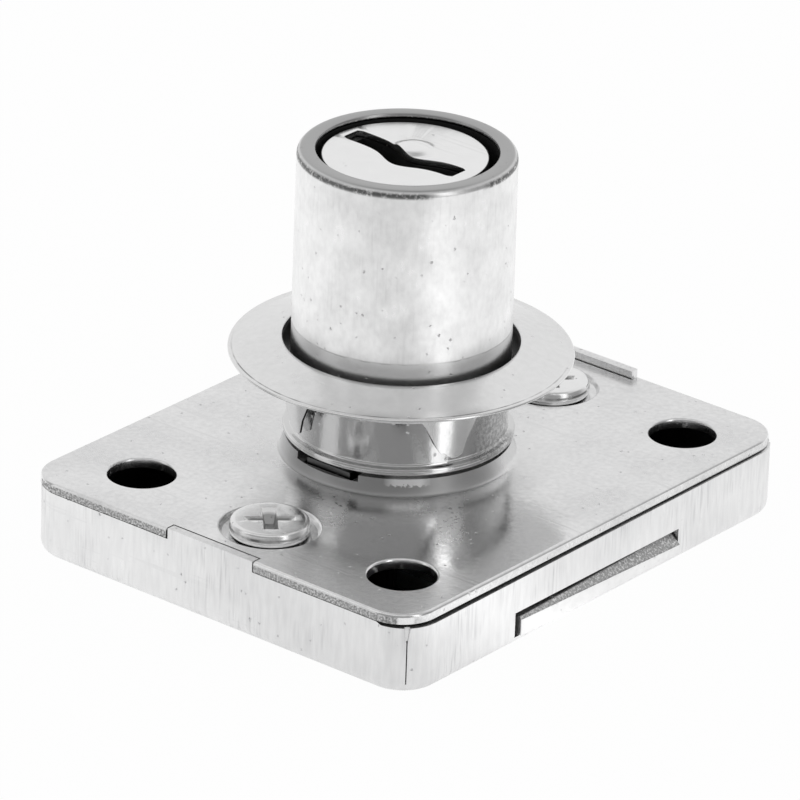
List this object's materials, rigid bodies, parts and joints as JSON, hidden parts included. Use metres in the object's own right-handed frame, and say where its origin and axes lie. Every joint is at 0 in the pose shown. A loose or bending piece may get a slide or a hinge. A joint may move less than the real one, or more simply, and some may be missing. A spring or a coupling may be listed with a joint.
{
  "type": "drawer lock",
  "caption": "Rectangular surface-mounted drawer lock: a wafer plug in a tall sleeve throws a flat bolt from a pressed case.",
  "frame": {"origin": "on the cylinder's axis, at the flat back of the case", "axes": "+Z along the cylinder towards the key, +X the way the bolt is thrown, +Y along the bolt's edge"},
  "size_m": [0.0365, 0.044, 0.0299],
  "materials": {
    "plated_sheet": "semi-gloss nickel-plated sheet steel with fine scratches",
    "case_plating": "plated folded sheet, brushed on its sides",
    "satin_sleeve": "satin nickel plating with faint pits",
    "polished_ring": "polished nickel plating",
    "cast_zinc": "plain zinc die casting",
    "bolt_steel": "plated steel, sheared and tumbled",
    "screw_plating": "bright plating",
    "wafer_brass": "stamped brass",
    "spring_wire": "bright spring wire"
  },
  "bodies": {
    "lock": {"cover_plate": "plated_sheet", "lock_case": "case_plating", "cylinder_sleeve": "satin_sleeve", "cylinder_body": "cast_zinc", "escutcheon_ring": "polished_ring", "cover_screw_front": "screw_plating", "cover_screw_rear": "screw_plating", "screw_post_front": "bolt_steel", "screw_post_rear": "bolt_steel"},
    "plug": {"plug": "cast_zinc", "plug_face": "polished_ring", "cam_driver": "bolt_steel", "cam_pin": "bolt_steel", "wafer_spring_1": "spring_wire", "wafer_spring_2": "spring_wire", "wafer_spring_3": "spring_wire", "wafer_spring_4": "spring_wire", "wafer_spring_5": "spring_wire", "wafer_spring_6": "spring_wire"},
    "bolt": {"bolt": "bolt_steel"},
    "wafer_1": {"wafer_1": "wafer_brass"},
    "wafer_2": {"wafer_2": "wafer_brass"},
    "wafer_3": {"wafer_3": "wafer_brass"},
    "wafer_4": {"wafer_4": "wafer_brass"},
    "wafer_5": {"wafer_5": "wafer_brass"},
    "wafer_6": {"wafer_6": "wafer_brass"}
  },
  "joints": [
    {"name": "plug_turn", "type": "hinge", "parent": "lock", "child": "plug", "pos_m": [0, 0, 0.0058], "axis": [0, 0, 1], "range_deg": [0, 90]},
    {"name": "bolt_throw", "type": "slide", "parent": "lock", "child": "bolt", "axis": [1, 0, 0], "range_m": [0, 0.007]},
    {"name": "wafer_1_slide", "type": "slide", "parent": "plug", "child": "wafer_1", "axis": [1, 0, 0], "range_m": [0, 0.0006], "stiffness_N_per_m": 60, "springref_m": 0.0009, "deforming": ["wafer_spring_1"]},
    {"name": "wafer_2_slide", "type": "slide", "parent": "plug", "child": "wafer_2", "axis": [-1, 0, 0], "range_m": [0, 0.0006], "stiffness_N_per_m": 60, "springref_m": 0.0009, "deforming": ["wafer_spring_2"]},
    {"name": "wafer_3_slide", "type": "slide", "parent": "plug", "child": "wafer_3", "axis": [1, 0, 0], "range_m": [0, 0.0006], "stiffness_N_per_m": 60, "springref_m": 0.0009, "deforming": ["wafer_spring_3"]},
    {"name": "wafer_4_slide", "type": "slide", "parent": "plug", "child": "wafer_4", "axis": [-1, 0, 0], "range_m": [0, 0.0006], "stiffness_N_per_m": 60, "springref_m": 0.0009, "deforming": ["wafer_spring_4"]},
    {"name": "wafer_5_slide", "type": "slide", "parent": "plug", "child": "wafer_5", "axis": [1, 0, 0], "range_m": [0, 0.0006], "stiffness_N_per_m": 60, "springref_m": 0.0009, "deforming": ["wafer_spring_5"]},
    {"name": "wafer_6_slide", "type": "slide", "parent": "plug", "child": "wafer_6", "axis": [-1, 0, 0], "range_m": [0, 0.0006], "stiffness_N_per_m": 60, "springref_m": 0.0009, "deforming": ["wafer_spring_6"]}
  ],
  "couplings": [
    {"joint": "plug_turn", "follows": "bolt_throw", "rad_per_m": 224.4}
  ]
}
